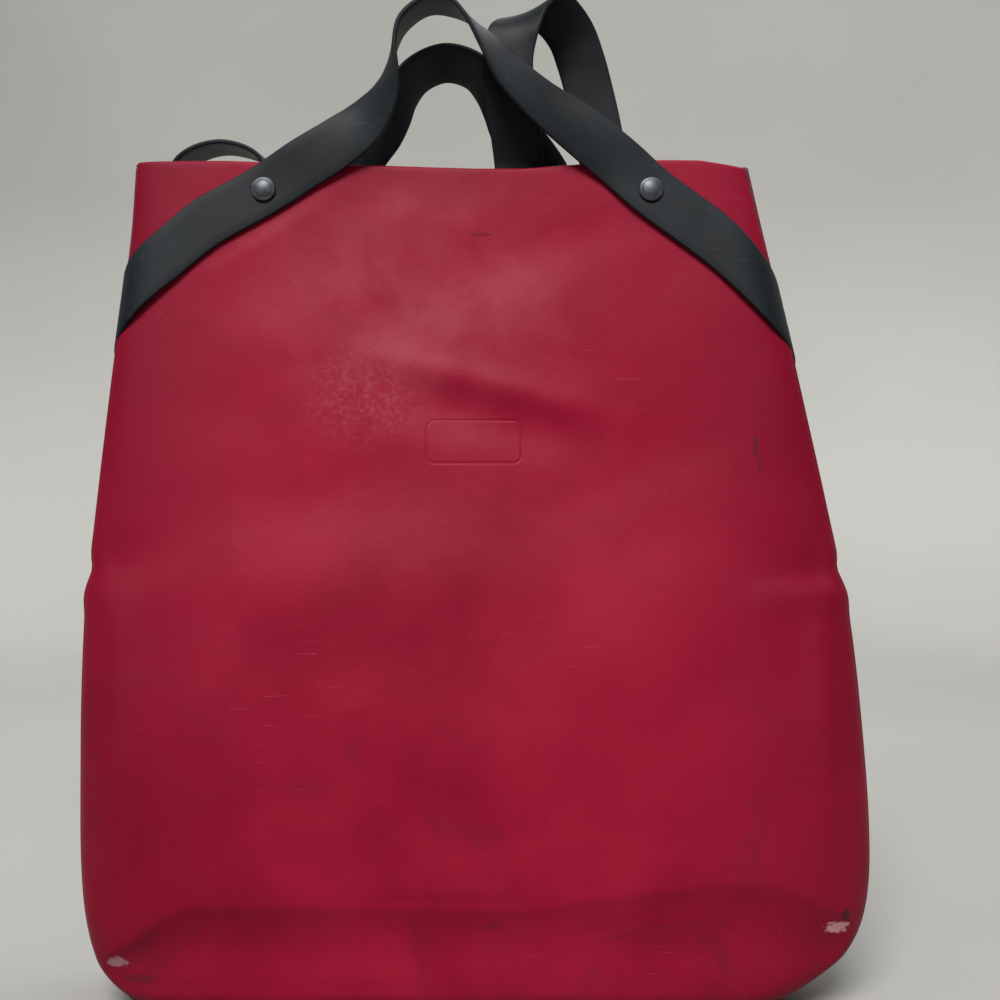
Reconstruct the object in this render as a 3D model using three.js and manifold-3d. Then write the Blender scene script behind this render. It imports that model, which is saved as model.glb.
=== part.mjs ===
// A tall tote backpack in coated fabric, standing on its base, with flat rubber straps.
// Millimetres. +Z is up towards the mouth, -Y is the front, and the origin is on the base's rest face.
import * as THREE from "three";
import { mergeVertices } from "three/addons/utils/BufferGeometryUtils.js";
import Module from "manifold-3d";

const wasm = await Module();
wasm.setup();

// Heights
const RIM = 395;
const FOLD = 196; // where the side gussets turn inwards and the front panel flexes
const SHELL_FOOT = 8.4; // lowest edge of the upright panels
const BASE_RIM = 6.5; // how far the base panel turns up at its edge

// Materials' thicknesses and the clearance between neighbours
const FABRIC = 1.4;
const LINING = 1.2;
const CLEAR = 0.4;
const SEAM = 0.5;

// Straps and rivets
const STRAP_WIDTH = 24.5;
const STRAP_THICKNESS = 2.2;
const STRAP_LIFT = CLEAR + STRAP_THICKNESS / 2; // from a panel to the middle of a strap on it
const CAP_RADIUS = 5.8;
const CAP_HEIGHT = 2.2;
const CAP_EDGE = 0.5; // upright edge of the cap, below its dome
const CAP_GAP = 0.3;
const SHANK_RADIUS = 1.6;
const HOLE_RADIUS = 2.1;
const BURR_RADIUS = 4.5;
const BURR_HEIGHT = 1;
const RIVET_SIDES = 10;
const HINGE_HEIGHT = 392.6; // where the handles start to bend
const HINGE_SLIT = 1;

// Board in the base, and the pair of closing magnets
const BAG_MIDDLE = -7; // x of the middle of the base
const BOARD_WIDTH = 244;
const BOARD_DEPTH = 44;
const BOARD_THICKNESS = 2;
const MAGNET_RADIUS = 6;
const MAGNET_THICKNESS = 2;
const MAGNET_PLACE = { x: -14, y: 4, z: 386.5 };

// Profiles over the height, as [height, value]
const HALF_DEPTH = [[0, 28], [10, 41], [30, 46], [100, 46], [196, 34], [260, 24], [330, 15], [395, 8]];
const SEAM_DEPTH = [[0, 18], [30, 26], [120, 26], [196, 20], [395, 3.5]];
const LEFT_EDGE = [[0, -141], [5, -155], [14, -166], [26, -173], [55, -178], [110, -179.3], [183, -179],
  [222, -175.8], [300, -168.4], [357, -161.8], [395, -159.8]];
const RIGHT_EDGE = [[0, 128], [5, 142], [17, 160], [29, 173], [50, 180.5], [82, 182], [135, 178.8],
  [184, 174], [235, 164.4], [272, 156.9], [308, 149.4], [357, 138.2], [395, 130.2]];
const CORNER_POWER = 14; // how square a horizontal section's corners are

const FABRIC_RED = { color: 0x96193a, roughness: 0.5, metalness: 0 };
const LINING_BLACK = { color: 0x1c1d20, roughness: 0.8, metalness: 0 };
const STRAP_BLACK = { color: 0x2b3033, roughness: 0.62, metalness: 0 };
const RIVET_BLACK = { color: 0x3c4045, roughness: 0.4, metalness: 0.6 };
const STEEL = { color: 0xb0b2b5, roughness: 0.3, metalness: 1 };
const BOARD_GREY = { color: 0x55575a, roughness: 0.7, metalness: 0 };

const bag = new THREE.Group();
bag.name = "tote_backpack";

// Adds a named piece to the bag.
function addPiece(name, geometry, material) {
  const mesh = new THREE.Mesh(geometry, new THREE.MeshStandardMaterial(material));
  mesh.name = name;
  bag.add(mesh);
}

// A profile's value at a height, on a smooth curve through its points.
function along(profile, height) {
  const last = profile.length - 1;
  let i = 0;
  while (i < last - 1 && height > profile[i + 1][0]) i += 1;
  const slope = (k) => {
    const a = profile[Math.max(k - 1, 0)];
    const b = profile[Math.min(k + 1, last)];
    return (b[1] - a[1]) / (b[0] - a[0]);
  };
  const [z0, v0] = profile[i];
  const [z1, v1] = profile[i + 1];
  const step = z1 - z0;
  const t = THREE.MathUtils.clamp((height - z0) / step, 0, 1);
  const t2 = t * t;
  const t3 = t2 * t;
  const start = (2 * t3 - 3 * t2 + 1) * v0 + (t3 - 2 * t2 + t) * step * slope(i);
  const end = (3 * t2 - 2 * t3) * v1 + (t3 - t2) * step * slope(i + 1);
  return start + end;
}

// A point on the outer surface. side is -1 for the front and 1 for the back; across runs -1 to 1.
function shellPoint(side, across, height) {
  const left = along(LEFT_EDGE, height);
  const right = along(RIGHT_EDGE, height);
  const seam = along(SEAM_DEPTH, height);
  const depth = along(HALF_DEPTH, height);
  const crown = Math.sqrt(Math.max(0, 1 - Math.abs(across) ** CORNER_POWER));
  const x = (left + right) / 2 + (across * (right - left)) / 2;
  return new THREE.Vector3(x, side * (seam + (depth - seam) * crown), height);
}

// The share of the way across at which the shell has a given x.
function acrossAt(x, height) {
  const left = along(LEFT_EDGE, height);
  const right = along(RIGHT_EDGE, height);
  return (2 * x - left - right) / (right - left);
}

// The outward direction of the shell at x and a height.
function shellNormal(side, x, height) {
  const step = 0.5;
  const across = acrossAt(x, height);
  const nudge = 0.004;
  const du = shellPoint(side, across + nudge, height).sub(shellPoint(side, across - nudge, height));
  const dv = shellPoint(side, across, height + step).sub(shellPoint(side, across, height - step));
  return du.cross(dv).multiplyScalar(-side).normalize();
}

// A strap station on a panel: lift is how far its middle stands off, and edge is its width direction.
function onPanel(side, x, height, edge, lift = STRAP_LIFT) {
  const normal = shellNormal(side, x, height);
  const middle = shellPoint(side, acrossAt(x, height), height).addScaledVector(normal, lift);
  const width = new THREE.Vector3(...edge);
  width.addScaledVector(normal, -width.dot(normal)).normalize();
  return { middle, width };
}

// A strap station in the air.
function free(x, y, z, edge) {
  return { middle: new THREE.Vector3(x, y, z), width: new THREE.Vector3(...edge).normalize() };
}

// Closed geometry from two matching grids of points, the outer one facing out.
function closedBetween(outer, inner) {
  const rows = outer.length;
  const columns = outer[0].length;
  const points = [...outer.flat(), ...inner.flat()];
  const faces = [];
  const id = (layer, r, c) => layer * rows * columns + r * columns + c;
  const quad = (a, b, c, d) => faces.push(a, b, c, a, c, d);
  for (let r = 0; r < rows - 1; r += 1) {
    for (let c = 0; c < columns - 1; c += 1) {
      quad(id(0, r, c), id(0, r, c + 1), id(0, r + 1, c + 1), id(0, r + 1, c));
      quad(id(1, r, c), id(1, r + 1, c), id(1, r + 1, c + 1), id(1, r, c + 1));
    }
  }
  for (let c = 0; c < columns - 1; c += 1) {
    quad(id(1, 0, c), id(1, 0, c + 1), id(0, 0, c + 1), id(0, 0, c));
    quad(id(0, rows - 1, c), id(0, rows - 1, c + 1), id(1, rows - 1, c + 1), id(1, rows - 1, c));
  }
  for (let r = 0; r < rows - 1; r += 1) {
    quad(id(1, r + 1, 0), id(1, r, 0), id(0, r, 0), id(0, r + 1, 0));
    quad(id(0, r + 1, columns - 1), id(0, r, columns - 1), id(1, r, columns - 1),
      id(1, r + 1, columns - 1));
  }
  const geometry = new THREE.BufferGeometry().setFromPoints(points);
  geometry.setIndex(faces);
  return geometry;
}

// A sheet of even thickness. surface(u, v) is its outer face, with du x dv pointing out.
function sheet(surface, columns, rows, thickness) {
  const nudge = 0.002;
  const clamp = (t) => THREE.MathUtils.clamp(t, 0, 1);
  const outer = [];
  const inner = [];
  for (let r = 0; r <= rows; r += 1) {
    const v = r / rows;
    const outerRow = [];
    const innerRow = [];
    for (let c = 0; c <= columns; c += 1) {
      const u = c / columns;
      const du = surface(clamp(u + nudge), v).sub(surface(clamp(u - nudge), v));
      const dv = surface(u, clamp(v + nudge)).sub(surface(u, clamp(v - nudge)));
      const normal = du.cross(dv).normalize();
      const point = surface(u, v);
      outerRow.push(point);
      innerRow.push(point.clone().addScaledVector(normal, -thickness));
    }
    outer.push(outerRow);
    inner.push(innerRow);
  }
  return closedBetween(outer, inner);
}

// Spreads -1 to 1 with closer steps towards both ends, where the shell turns round its corners.
function closerAtEnds(u) {
  const t = 2 * u - 1;
  return Math.sign(t) * (1 - (1 - Math.abs(t)) ** 2.2);
}

// A front (-1) or back (1) panel between two heights.
function panel(side, low, high, columns, rows) {
  const surface = (u, v) => shellPoint(side, -side * closerAtEnds(u), low + (high - low) * v);
  return sheet(surface, columns, rows, FABRIC);
}

// A lining sheet behind a panel: stand is the gap behind the panel, and it may close at its ends.
function lining(side, xs, heights, stand, columns, rows) {
  const surface = (u, v) => {
    const x = side < 0 ? xs[0] + (xs[1] - xs[0]) * u : xs[1] - (xs[1] - xs[0]) * u;
    const z = heights[0] + (heights[1] - heights[0]) * v;
    return shellPoint(side, acrossAt(x, z), z).setComponent(1,
      shellPoint(side, acrossAt(x, z), z).y - side * (FABRIC + stand(u, v)));
  };
  return sheet(surface, columns, rows, LINING);
}

// A lower side wall, on the left (-1) or right (1), slightly bowed outwards.
function sideWall(hand) {
  const bow = 2;
  const edge = hand < 0 ? LEFT_EDGE : RIGHT_EDGE;
  const surface = (u, v) => {
    const z = SHELL_FOOT + (FOLD - SEAM - SHELL_FOOT) * v;
    const t = hand * (2 * u - 1);
    const y = t * (along(SEAM_DEPTH, z) - SEAM);
    return new THREE.Vector3(along(edge, z) + hand * bow * (1 - t * t) * Math.sin(Math.PI * v), y, z);
  };
  return sheet(surface, 6, 10, FABRIC);
}

// The upper gusset, folded inwards like a paper bag's: two legs joined by a round bend.
function gussetPleat(hand) {
  const bend = 2.2;
  const deepest = 36;
  const edge = hand < 0 ? LEFT_EDGE : RIGHT_EDGE;
  const low = FOLD + SEAM;
  const high = RIM - 1.5;
  const surface = (u, v) => {
    const z = low + (high - low) * v;
    const y = along(SEAM_DEPTH, z) - SEAM - LINING / 2;
    const reach = 3 + (deepest - 3) * v;
    const leg = 0.36;
    const t = hand < 0 ? 1 - u : u;
    const outside = along(edge, z) - hand * LINING;
    const inside = outside - hand * (reach - bend);
    if (t < leg) {
      const k = t / leg;
      return new THREE.Vector3(outside + (inside - outside) * k, -y + (y - bend) * k, z);
    }
    if (t > 1 - leg) {
      const k = (1 - t) / leg;
      return new THREE.Vector3(outside + (inside - outside) * k, y - (y - bend) * k, z);
    }
    const turn = (Math.PI * (t - leg)) / (1 - 2 * leg);
    return new THREE.Vector3(inside - hand * bend * Math.sin(turn), -bend * Math.cos(turn), z);
  };
  return sheet(surface, 12, 8, LINING / 2);
}

// The base: flat in the middle and turned up at its edges.
function basePanel() {
  const turnX = 24;
  const turnY = 12;
  const left = along(LEFT_EDGE, BASE_RIM);
  const right = along(RIGHT_EDGE, BASE_RIM);
  const point = (u, v, lift) => {
    const across = closerAtEnds(u);
    const edge = shellPoint(1, across, BASE_RIM);
    const y = closerAtEnds(v) * edge.y;
    const fromSide = (1 - Math.abs(across)) * ((right - left) / 2);
    const fromFront = edge.y - Math.abs(y);
    const sideTurn = Math.max(0, 1 - fromSide / turnX) ** 2;
    const frontTurn = Math.max(0, 1 - fromFront / turnY) ** 2;
    const z = BASE_RIM * (1 - (1 - sideTurn) * (1 - frontTurn)) + lift;
    return new THREE.Vector3(edge.x, y, z);
  };
  const columns = 20;
  const rows = 8;
  const grid = (lift) => Array.from({ length: rows + 1 }, (_, r) =>
    Array.from({ length: columns + 1 }, (_unused, c) => point(c / columns, 1 - r / rows, lift)));
  return closedBetween(grid(0), grid(FABRIC));
}

// A flat strap through its stations, three steps to each.
function strap(stations) {
  const steps = 3 * (stations.length - 1);
  const path = new THREE.CatmullRomCurve3(stations.map((s) => s.middle), false, "centripetal");
  const turn = new THREE.CatmullRomCurve3(stations.map((s) => s.width), false, "catmullrom", 0.5);
  const left = [];
  const right = [];
  for (let i = 0; i <= steps; i += 1) {
    const t = i / steps;
    const tangent = path.getTangent(t);
    const width = turn.getPoint(t);
    width.addScaledVector(tangent, -width.dot(tangent)).normalize();
    const face = tangent.clone().cross(width);
    const middle = path.getPoint(t);
    const corner = (w, f) => middle.clone()
      .addScaledVector(width, (w * STRAP_WIDTH) / 2)
      .addScaledVector(face, (f * STRAP_THICKNESS) / 2);
    left.push([corner(-1, 1), corner(1, 1)]);
    right.push([corner(-1, -1), corner(1, -1)]);
  }
  return closedBetween(right, left);
}

// A three.js geometry as a manifold-3d solid, and back.
function solidOf(geometry) {
  const bare = geometry.clone();
  bare.deleteAttribute("normal");
  bare.deleteAttribute("uv");
  const merged = mergeVertices(bare, 1e-4);
  return new wasm.Manifold(new wasm.Mesh({
    numProp: 3,
    vertProperties: merged.attributes.position.array,
    triVerts: new Uint32Array(merged.index.array),
  }));
}

function geometryOf(solid) {
  const mesh = solid.getMesh();
  const geometry = new THREE.BufferGeometry();
  geometry.setAttribute("position", new THREE.BufferAttribute(mesh.vertProperties, 3));
  geometry.setIndex(new THREE.BufferAttribute(mesh.triVerts, 1));
  return geometry;
}

// A box-shaped cutter between two corners.
function cutter(low, high) {
  const size = high.map((h, i) => h - low[i]);
  const box = new THREE.BoxGeometry(...size);
  box.translate(...low.map((l, i) => l + size[i] / 2));
  return solidOf(box);
}

// Turns a geometry made along +Y to point along a direction from a point.
function place(geometry, point, direction) {
  const turn = new THREE.Quaternion().setFromUnitVectors(new THREE.Vector3(0, 1, 0), direction);
  return geometry.applyQuaternion(turn).translate(point.x, point.y, point.z);
}

// A closed turned solid from [radius, height] pairs that start and end on the axis or on themselves.
function turned(profile) {
  return new THREE.LatheGeometry(profile.map(([r, y]) => new THREE.Vector2(r, y)), RIVET_SIDES);
}

// A rivet's domed cap and shank. lift is the strap's middle above the panel.
function rivetGeometry(lift) {
  const under = lift + STRAP_THICKNESS / 2 + CAP_GAP;
  const foot = -FABRIC - CLEAR - BURR_HEIGHT - CLEAR;
  const domeFoot = CAP_EDGE + 0.2;
  const dome = [0, 1, 2, 3].map((k) => {
    const angle = (k * Math.PI) / 8;
    const height = under + domeFoot + (CAP_HEIGHT - domeFoot) * Math.sin(angle);
    return [CAP_RADIUS * 0.94 * Math.cos(angle), height];
  });
  return turned([[0, foot], [SHANK_RADIUS, foot], [SHANK_RADIUS, under], [CAP_RADIUS, under],
    [CAP_RADIUS, under + CAP_EDGE], ...dome, [0, under + CAP_HEIGHT]]);
}

function burrGeometry() {
  const top = -FABRIC - CLEAR;
  const bottom = top - BURR_HEIGHT;
  const bore = HOLE_RADIUS - 0.2;
  return turned([[bore, bottom], [BURR_RADIUS, bottom], [BURR_RADIUS, top], [bore, top], [bore, bottom]]);
}

// Every rivet: where it goes through the shell, and how far out the strap's middle is there.
const OVER_STRAP = STRAP_LIFT + STRAP_THICKNESS + CLEAR;
const RIVETS = {
  front_left: { side: -1, x: -98.4, z: 381, lift: STRAP_LIFT + 0.5 },
  front_right: { side: -1, x: 84.1, z: 381, lift: STRAP_LIFT + 0.5 },
  side_left: { side: 1, x: -124, z: 270, lift: STRAP_LIFT },
  side_right: { side: 1, x: 104, z: 270, lift: STRAP_LIFT },
  handle_left: { side: 1, x: -61, z: 370, lift: STRAP_LIFT + 0.6 },
  handle_right: { side: 1, x: 41.5, z: 371, lift: OVER_STRAP },
  shoulder_top_left: { side: 1, x: -91, z: 346, lift: STRAP_LIFT },
  shoulder_top_right: { side: 1, x: 24.5, z: 346, lift: STRAP_LIFT },
  shoulder_foot_left: { side: 1, x: -151.5, z: 62, lift: STRAP_LIFT },
  shoulder_foot_right: { side: 1, x: 148, z: 62, lift: STRAP_LIFT },
};

// The axis of a rivet: where it meets the shell, and outwards.
function rivetAxis({ side, x, z }) {
  return { point: shellPoint(side, acrossAt(x, z), z), out: shellNormal(side, x, z) };
}

// Drills a geometry for the named rivets.
function drilled(geometry, names) {
  let solid = solidOf(geometry);
  const reach = 30;
  for (const name of names) {
    const { point, out } = rivetAxis(RIVETS[name]);
    const drill = new THREE.CylinderGeometry(HOLE_RADIUS, HOLE_RADIUS, reach, RIVET_SIDES);
    solid = solid.subtract(solidOf(place(drill, point, out)));
  }
  return geometryOf(solid);
}

function addShell() {
  const upper = panel(-1, FOLD + SEAM, RIM, 20, 10);
  addPiece("front_panel_lower", panel(-1, SHELL_FOOT, FOLD - SEAM, 20, 9), FABRIC_RED);
  addPiece("front_panel_upper", drilled(upper, ["front_left", "front_right"]), FABRIC_RED);
  const behind = Object.keys(RIVETS).filter((name) => RIVETS[name].side > 0);
  addPiece("back_panel", drilled(panel(1, SHELL_FOOT, RIM, 20, 17), behind), FABRIC_RED);
  addPiece("side_wall_left", sideWall(-1), FABRIC_RED);
  addPiece("side_wall_right", sideWall(1), FABRIC_RED);
  addPiece("gusset_pleat_left", gussetPleat(-1), FABRIC_RED);
  addPiece("gusset_pleat_right", gussetPleat(1), FABRIC_RED);
  addPiece("base_panel", basePanel(), FABRIC_RED);
}

function addInside() {
  const board = new THREE.BoxGeometry(BOARD_WIDTH, BOARD_DEPTH, BOARD_THICKNESS);
  board.translate(BAG_MIDDLE, 0, FABRIC + CLEAR + BOARD_THICKNESS / 2);
  addPiece("base_board", board, BOARD_GREY);
  const hem = () => CLEAR;
  const hemSpan = [-78, 64];
  const hemHeights = [380, RIM - 1.5];
  addPiece("mouth_hem_front", lining(-1, hemSpan, hemHeights, hem, 12, 2), FABRIC_RED);
  addPiece("mouth_hem_back", lining(1, hemSpan, hemHeights, hem, 12, 2), FABRIC_RED);
  const pocketDepth = 10;
  const pocket = (u, v) => FABRIC + pocketDepth * (1 - Math.abs(2 * u - 1) ** 8) * Math.min(1, 4 * v);
  addPiece("laptop_sleeve", lining(1, [-115, 103], [32, 254], pocket, 12, 6), LINING_BLACK);
  for (const [name, side] of [["magnet_front", -1], ["magnet_back", 1]]) {
    const magnet = new THREE.CylinderGeometry(MAGNET_RADIUS, MAGNET_RADIUS, MAGNET_THICKNESS, 20);
    magnet.translate(MAGNET_PLACE.x, side * MAGNET_PLACE.y, MAGNET_PLACE.z);
    addPiece(name, magnet, STEEL);
  }
}

// The strap that runs over the front: riveted either side, arching over the mouth as the front handle.
const FRONT_RUN_LEFT = [
  onPanel(-1, -152.5, 345, [-0.66, 0, 0.75], STRAP_LIFT + 0.7),
  onPanel(-1, -140, 355.5, [-0.59, 0, 0.81], STRAP_LIFT + 0.4),
  onPanel(-1, -123, 367, [-0.54, 0, 0.84]),
  onPanel(-1, -98.4, 381, [-0.54, 0, 0.84]),
  free(-79, -11, 394, [-0.58, 0, 0.8]),
];
const FRONT_ARCH = [
  free(-64, -10.6, 403.5, [-0.6, 0.1, 0.78]),
  free(-52, -11, 412.5, [-0.66, 0.35, 0.66]),
  free(-44, -11.5, 423, [-0.62, 0.65, 0.42]),
  free(-39.9, -11.5, 434, [-0.4, 0.88, 0.2]),
  free(-37.5, -11, 447.4, [-0.12, 0.99, 0.02]),
  free(-33, -10.5, 460, [0, 1, 0]),
  free(-21, -10, 468.9, [0, 1, 0]),
  free(-9.7, -11, 467.7, [0.05, 1, 0]),
  free(-0.2, -12.5, 460.6, [0.2, 0.95, 0.15]),
  free(8.8, -13.5, 449.8, [0.42, 0.85, 0.3]),
  free(18.7, -14, 436, [0.6, 0.65, 0.42]),
  free(32.4, -13.5, 422.9, [0.68, 0.45, 0.5]),
  free(48.4, -12, 411, [0.65, 0.2, 0.65]),
  free(60.2, -10.8, 402, [0.62, 0.05, 0.75]),
];
const FRONT_RUN_RIGHT = [
  free(70, -10.3, 394, [0.6, 0, 0.78]),
  onPanel(-1, 84.1, 381, [0.62, 0, 0.78]),
  onPanel(-1, 107, 363.5, [0.6, 0, 0.8]),
  onPanel(-1, 123, 351, [0.63, 0, 0.78], STRAP_LIFT + 0.4),
  onPanel(-1, 134.5, 341, [0.68, 0, 0.73], STRAP_LIFT + 0.7),
];

// The same strap's ends, round the sides to the back.
function sideStations(hand) {
  const edge = hand < 0 ? -172.4 : 154.4;
  const front = hand < 0 ? -153.1 : 135.1;
  const start = hand < 0 ? 344.4 : 340.4;
  const rise = [hand * 0.66, 0, 0.75];
  const fall = [-hand * 0.6, 0, 0.8];
  return [
    onPanel(-1, front, start, rise, STRAP_LIFT + 0.7),
    onPanel(-1, front + hand * 2.9, start - 2.5, rise, STRAP_LIFT + 1),
    free(edge - hand * 11.4, -18.4, start - 10, [hand * 0.56, 0.2, 0.78]),
    free(edge - hand * 3.8, -13.6, start - 19.5, [hand * 0.28, 0.46, 0.84]),
    free(edge, -4, 317, [-hand * 0.06, 0.58, 0.81]),
    free(edge, 5.5, 311, [-hand * 0.06, 0.5, 0.84]),
    free(edge - hand * 1.2, 15, 305.5, [-hand * 0.22, 0.24, 0.92]),
    free(edge - hand * 8.4, 22, 299.5, [-hand * 0.34, -0.05, 0.9]),
    onPanel(1, front + hand * 2, 291, fall, STRAP_LIFT + 1.6),
    onPanel(1, front - hand * 12, 281.5, fall, STRAP_LIFT + 0.5),
    onPanel(1, hand < 0 ? -124 : 104, 270, fall),
    onPanel(1, hand < 0 ? -111 : 91, 261, fall),
  ];
}

const REAR_TAB_LEFT = [
  onPanel(1, -61.5, 358, [1, 0, 0]),
  onPanel(1, -61, 370, [1, 0, 0]),
  onPanel(1, -61, 383, [1, 0, 0], STRAP_LIFT + 1.4),
];
const REAR_ARCH = [
  free(-60.5, 13.9, 394, [1, 0, 0]),
  free(-53, 15, 407, [0.93, 0.3, -0.1]),
  free(-45.8, 16.5, 416.5, [0.8, 0.5, -0.22]),
  free(-40, 18, 426, [0.6, 0.7, -0.32]),
  free(-35, 19, 436.5, [0.4, 0.8, -0.4]),
  free(-27, 20, 446, [0.18, 0.85, -0.47]),
  free(-14, 21, 451.5, [0, 0.87, -0.5]),
  free(-1, 20.5, 448, [-0.18, 0.85, -0.47]),
  free(7, 20, 440, [-0.4, 0.8, -0.4]),
  free(13, 19, 430, [-0.6, 0.7, -0.32]),
  free(18.5, 17.5, 419, [-0.8, 0.5, -0.22]),
  free(25.5, 15.5, 408, [-0.93, 0.3, -0.1]),
  free(35, 13.9, 394, [-1, 0, 0]),
];
const REAR_TAB_RIGHT = [
  onPanel(1, 39.5, 383, [-1, 0, 0], OVER_STRAP),
  onPanel(1, 41.5, 371, [-1, 0, 0], OVER_STRAP),
  onPanel(1, 42, 358, [-1, 0, 0], OVER_STRAP),
];

// The right shoulder strap: up from the middle of the back, over in a loop, and down the back.
const SHOULDER_RIGHT = [
  onPanel(1, 25, 333, [-1, 0, 0]),
  onPanel(1, 24.5, 346, [-1, 0, 0]),
  onPanel(1, 24, 366, [-1, 0, 0]),
  onPanel(1, 23.3, 387, [-1, 0, 0]),
  free(22.5, 10.2, 399, [-1, 0, 0]),
  free(20.5, 6.8, 414, [-1, 0, -0.05]),
  free(18, 3.9, 432, [-1, 0, 0]),
  free(16.8, 3.4, 448, [-1, 0, -0.1]),
  free(20, 5.5, 463, [-0.94, 0, -0.3]),
  free(28, 14, 474, [-0.9, 0, -0.42]),
  free(39, 25, 478, [-0.92, 0, -0.38]),
  free(48.5, 33, 470, [-0.97, 0.05, -0.2]),
  free(54, 36, 457, [-1, 0.05, -0.1]),
  free(58, 37, 443, [-1, 0, -0.15]),
  free(61.5, 37, 428, [-0.98, 0, -0.2]),
  free(64.5, 36.5, 412, [-0.98, 0, -0.2]),
  free(68, 37, 392, [-0.98, 0, -0.2]),
  free(74, 43, 360, [-0.97, 0, -0.22]),
  free(88, 58, 305, [-0.97, 0, -0.25]),
  free(106, 70, 235, [-0.97, 0, -0.25]),
  free(124, 71, 160, [-0.97, 0, -0.22]),
  free(139, 60, 105, [-0.98, 0, -0.2]),
  onPanel(1, 146, 82, [-1, 0, -0.1], STRAP_LIFT + 2.4),
  onPanel(1, 147, 73, [-1, 0, -0.1], STRAP_LIFT + 0.5),
  onPanel(1, 148, 62, [-1, 0, -0.05]),
  onPanel(1, 148.5, 49, [-1, 0, 0]),
];

// The left shoulder strap: up, edge-on over the rim in a small arc, and down the back.
const SHOULDER_LEFT = [
  onPanel(1, -91, 333, [1, 0, 0]),
  onPanel(1, -91, 346, [1, 0, 0]),
  onPanel(1, -91, 362, [1, 0, 0], STRAP_LIFT + 0.6),
  free(-92, 15.5, 378, [1, 0.2, 0]),
  free(-95, 20.5, 391, [0.75, 0.65, 0.1]),
  free(-103.5, 22, 403.5, [0.2, 1, 0]),
  free(-124, 22, 410, [0, 1, 0]),
  free(-143, 23, 403.5, [0, 1, 0]),
  free(-153, 27, 388, [-0.15, 1, 0.1]),
  free(-154.5, 37, 357, [-0.6, 0.75, 0.2]),
  free(-155, 50, 310, [-0.95, 0.25, 0]),
  free(-155, 64, 250, [-1, 0, 0]),
  free(-154.5, 71, 180, [-1, 0, 0]),
  free(-154, 63, 115, [-1, 0, 0]),
  onPanel(1, -152.3, 82, [-1, 0, 0], STRAP_LIFT + 2.4),
  onPanel(1, -151.7, 73, [-1, 0, 0], STRAP_LIFT + 0.5),
  onPanel(1, -151.5, 62, [-1, 0, 0]),
  onPanel(1, -151, 49, [-1, 0, 0]),
];

// Cuts a strap that was made in one piece at the height where its handle starts to bend.
function splitAtHinge(stations, handleName, endNames, rivetNames) {
  const whole = solidOf(strap(stations));
  const wide = 400;
  const above = cutter([-wide, -wide, HINGE_HEIGHT], [wide, wide, 2 * wide]);
  addPiece(handleName, geometryOf(whole.intersect(above)), STRAP_BLACK);
  const middle = -12;
  const top = HINGE_HEIGHT - HINGE_SLIT;
  const boxes = [
    cutter([-wide, -wide, 0], [middle, wide, top]),
    cutter([middle, -wide, 0], [wide, wide, top]),
  ];
  endNames.forEach((name, i) => {
    addPiece(name, drilled(geometryOf(whole.intersect(boxes[i])), [rivetNames[i]]), STRAP_BLACK);
  });
}

function addStraps() {
  splitAtHinge([...FRONT_RUN_LEFT, ...FRONT_ARCH, ...FRONT_RUN_RIGHT],
    "front_handle", ["front_strap_left", "front_strap_right"], ["front_left", "front_right"]);
  splitAtHinge([...REAR_TAB_LEFT, ...REAR_ARCH, ...REAR_TAB_RIGHT],
    "rear_handle", ["rear_tab_left", "rear_tab_right"], ["handle_left", "handle_right"]);
  addPiece("side_strap_left", drilled(strap(sideStations(-1)), ["side_left"]), STRAP_BLACK);
  addPiece("side_strap_right", drilled(strap(sideStations(1)), ["side_right"]), STRAP_BLACK);
  addPiece("shoulder_strap_left",
    drilled(strap(SHOULDER_LEFT), ["shoulder_top_left", "shoulder_foot_left"]), STRAP_BLACK);
  addPiece("shoulder_strap_right",
    drilled(strap(SHOULDER_RIGHT), ["shoulder_top_right", "shoulder_foot_right"]), STRAP_BLACK);
}

function addRivets() {
  for (const [name, rivet] of Object.entries(RIVETS)) {
    const { point, out } = rivetAxis(rivet);
    addPiece("rivet_" + name, place(rivetGeometry(rivet.lift), point, out), RIVET_BLACK);
    addPiece("burr_" + name, place(burrGeometry(), point, out), STEEL);
  }
}

addShell();
addInside();
addStraps();
addRivets();

export default bag;
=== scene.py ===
import math

import bmesh
import bpy
import numpy as np
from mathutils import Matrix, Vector, noise


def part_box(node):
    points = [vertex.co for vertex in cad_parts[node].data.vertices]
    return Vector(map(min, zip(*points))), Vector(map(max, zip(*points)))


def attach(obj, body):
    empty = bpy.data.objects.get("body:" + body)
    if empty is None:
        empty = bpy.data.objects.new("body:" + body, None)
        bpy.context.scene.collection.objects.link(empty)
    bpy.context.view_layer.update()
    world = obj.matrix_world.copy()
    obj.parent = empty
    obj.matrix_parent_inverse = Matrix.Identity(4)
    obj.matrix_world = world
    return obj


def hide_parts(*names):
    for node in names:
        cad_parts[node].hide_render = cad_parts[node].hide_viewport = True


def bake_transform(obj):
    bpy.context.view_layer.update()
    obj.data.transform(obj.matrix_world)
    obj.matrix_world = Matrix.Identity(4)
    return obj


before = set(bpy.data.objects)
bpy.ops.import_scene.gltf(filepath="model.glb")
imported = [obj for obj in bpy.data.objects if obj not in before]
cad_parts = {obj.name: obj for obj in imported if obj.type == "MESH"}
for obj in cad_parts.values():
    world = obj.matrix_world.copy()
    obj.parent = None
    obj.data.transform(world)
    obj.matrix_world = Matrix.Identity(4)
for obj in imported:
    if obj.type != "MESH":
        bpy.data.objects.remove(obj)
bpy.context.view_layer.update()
scene = bpy.context.scene

MM = 0.001

# Heights
RIM = 395
FOLD = 196
FOOT = 7.2  # where the upright panels meet the base panel

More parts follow.
